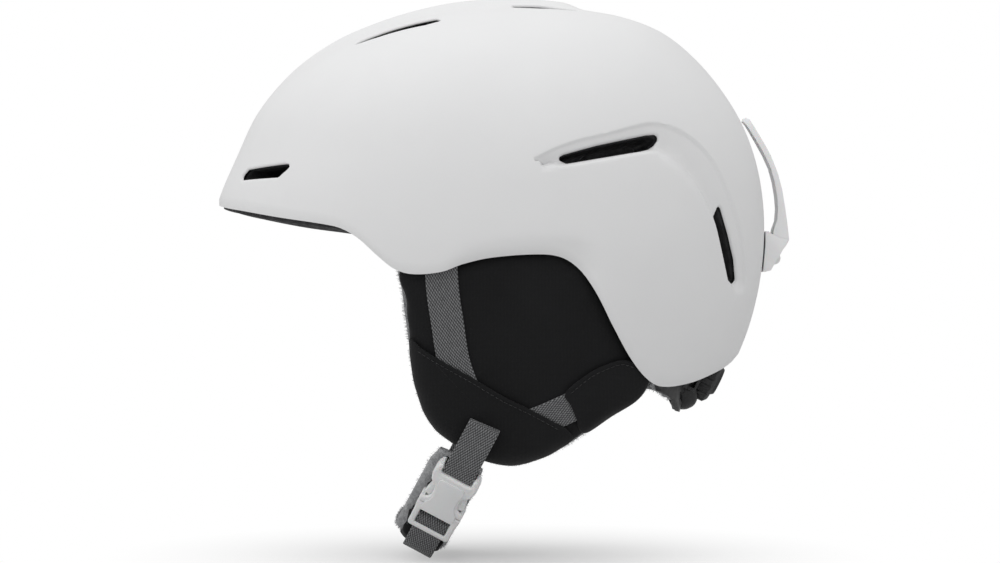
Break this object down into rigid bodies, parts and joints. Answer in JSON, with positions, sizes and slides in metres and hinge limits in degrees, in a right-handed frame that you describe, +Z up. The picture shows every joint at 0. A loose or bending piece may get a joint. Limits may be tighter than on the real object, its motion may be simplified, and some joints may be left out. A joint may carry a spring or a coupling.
{
  "type": "ski helmet",
  "caption": "Ski helmet with a vented hard shell over a foam liner, padded ear covers, a dial fit cradle, a rear goggle strap clip and a side-release buckle on a padded chin strap.",
  "frame": {"origin": "in the plane of symmetry, midway along the shell and level with its brow edge, inside the head cavity", "axes": "+X to the wearer's left, +Y to the back of the head (the wearer faces -Y), +Z up"},
  "size_m": [0.222, 0.2957, 0.286],
  "materials": {
    "shell_white": "fine matte moulded polycarbonate, white",
    "foam_black": "moulded expanded polystyrene beads, black",
    "comfort_fabric": "brushed knit over soft foam, near black",
    "hook_tape": "nylon hook discs, black",
    "black_plastic": "moulded nylon, black, satin",
    "softshell_black": "smooth softshell cloth, black",
    "fleece_grey": "heather grey fleece",
    "webbing_grey": "ribbed woven polyester webbing, charcoal",
    "buckle_white": "moulded acetal, light grey white, satin",
    "clip_white": "moulded nylon, white, satin",
    "steel": "plated steel"
  },
  "bodies": {
    "helmet": {"outer_shell": "shell_white", "foam_liner": "foam_black", "brow_pad": "comfort_fabric", "crown_pad": "comfort_fabric", "side_pad_left": "comfort_fabric", "side_pad_right": "comfort_fabric", "pad_hook_discs": "hook_tape", "strap_anchors": "black_plastic", "ear_pad_foam_left": "softshell_black", "ear_pad_foam_right": "softshell_black", "ear_pad_lining_left": "fleece_grey", "ear_pad_lining_right": "fleece_grey", "ear_pad_front_sleeve_left": "softshell_black", "ear_pad_front_sleeve_right": "softshell_black", "ear_pad_rear_sleeve_left": "softshell_black", "ear_pad_rear_sleeve_right": "softshell_black", "ear_pad_tabs_left": "black_plastic", "ear_pad_tabs_right": "black_plastic", "front_webbing_left": "webbing_grey", "front_webbing_right": "webbing_grey", "rear_webbing_left": "webbing_grey", "rear_webbing_right": "webbing_grey", "goggle_clip_base": "clip_white", "goggle_clip_pin": "steel", "goggle_clip_screw": "steel", "goggle_clip_nut": "steel", "height_guide": "black_plastic", "height_guide_screws": "steel"},
    "nape_cradle": {"nape_cradle": "black_plastic", "nape_pads": "fleece_grey", "height_slider": "black_plastic", "dial_housing": "black_plastic"},
    "fit_dial": {"fit_dial": "black_plastic", "dial_pinion": "black_plastic", "dial_axle_screw": "steel"},
    "fit_band_left": {"fit_band_left": "black_plastic"},
    "fit_band_right": {"fit_band_right": "black_plastic"},
    "chin_strap": {"chin_webbing_right": "webbing_grey", "chin_pad_cover": "softshell_black", "chin_pad_fleece": "fleece_grey", "buckle_plug": "buckle_white"},
    "strap_left": {"buckle_socket": "buckle_white", "chin_webbing_left": "webbing_grey"},
    "latch_front": {"buckle_latch_front": "buckle_white"},
    "latch_rear": {"buckle_latch_rear": "buckle_white"},
    "goggle_clip_arm": {"goggle_clip_arm": "clip_white"}
  },
  "joints": [
    {"name": "cradle_height", "type": "slide", "parent": "helmet", "child": "nape_cradle", "axis": [0, -0.1219, -0.9925], "range_m": [0, 0.01]},
    {"name": "dial_turn", "type": "hinge", "parent": "nape_cradle", "child": "fit_dial", "pos_m": [0, 0.1059, -0.0843], "axis": [0, 0.8988, -0.4384], "range_deg": [-68, 68]},
    {"name": "band_left_slide", "type": "slide", "parent": "nape_cradle", "child": "fit_band_left", "axis": [1, 0, 0], "range_m": [-0.006, 0.006]},
    {"name": "band_right_slide", "type": "slide", "parent": "nape_cradle", "child": "fit_band_right", "axis": [-1, 0, 0], "range_m": [-0.006, 0.006]},
    {"name": "chin_strap_swing", "type": "hinge", "parent": "helmet", "child": "chin_strap", "pos_m": [0, -0.0025, -0.1098], "axis": [1, 0, 0], "range_deg": [-12, 20]},
    {"name": "buckle_release", "type": "slide", "parent": "chin_strap", "child": "strap_left", "axis": [0.6157, 0.3699, 0.6958], "range_m": [0, 0.02]},
    {"name": "latch_front_squeeze", "type": "hinge", "parent": "chin_strap", "child": "latch_front", "pos_m": [0.06037, -0.03162, -0.14901], "axis": [-0.788, 0.289, 0.5436], "range_deg": [0, 6], "stiffness_Nm_per_rad": 0.4},
    {"name": "latch_rear_squeeze", "type": "hinge", "parent": "chin_strap", "child": "latch_rear", "pos_m": [0.06037, -0.01873, -0.15587], "axis": [0.788, -0.289, -0.5436], "range_deg": [0, 6], "stiffness_Nm_per_rad": 0.4},
    {"name": "goggle_clip_open", "type": "hinge", "parent": "helmet", "child": "goggle_clip_arm", "pos_m": [0, 0.147, -0.0265], "axis": [-1, 0, 0], "range_deg": [0, 70]}
  ],
  "couplings": [
    {"joint": "band_left_slide", "follows": "dial_turn", "m_per_rad": 0.005},
    {"joint": "band_right_slide", "follows": "dial_turn", "m_per_rad": 0.005}
  ]
}
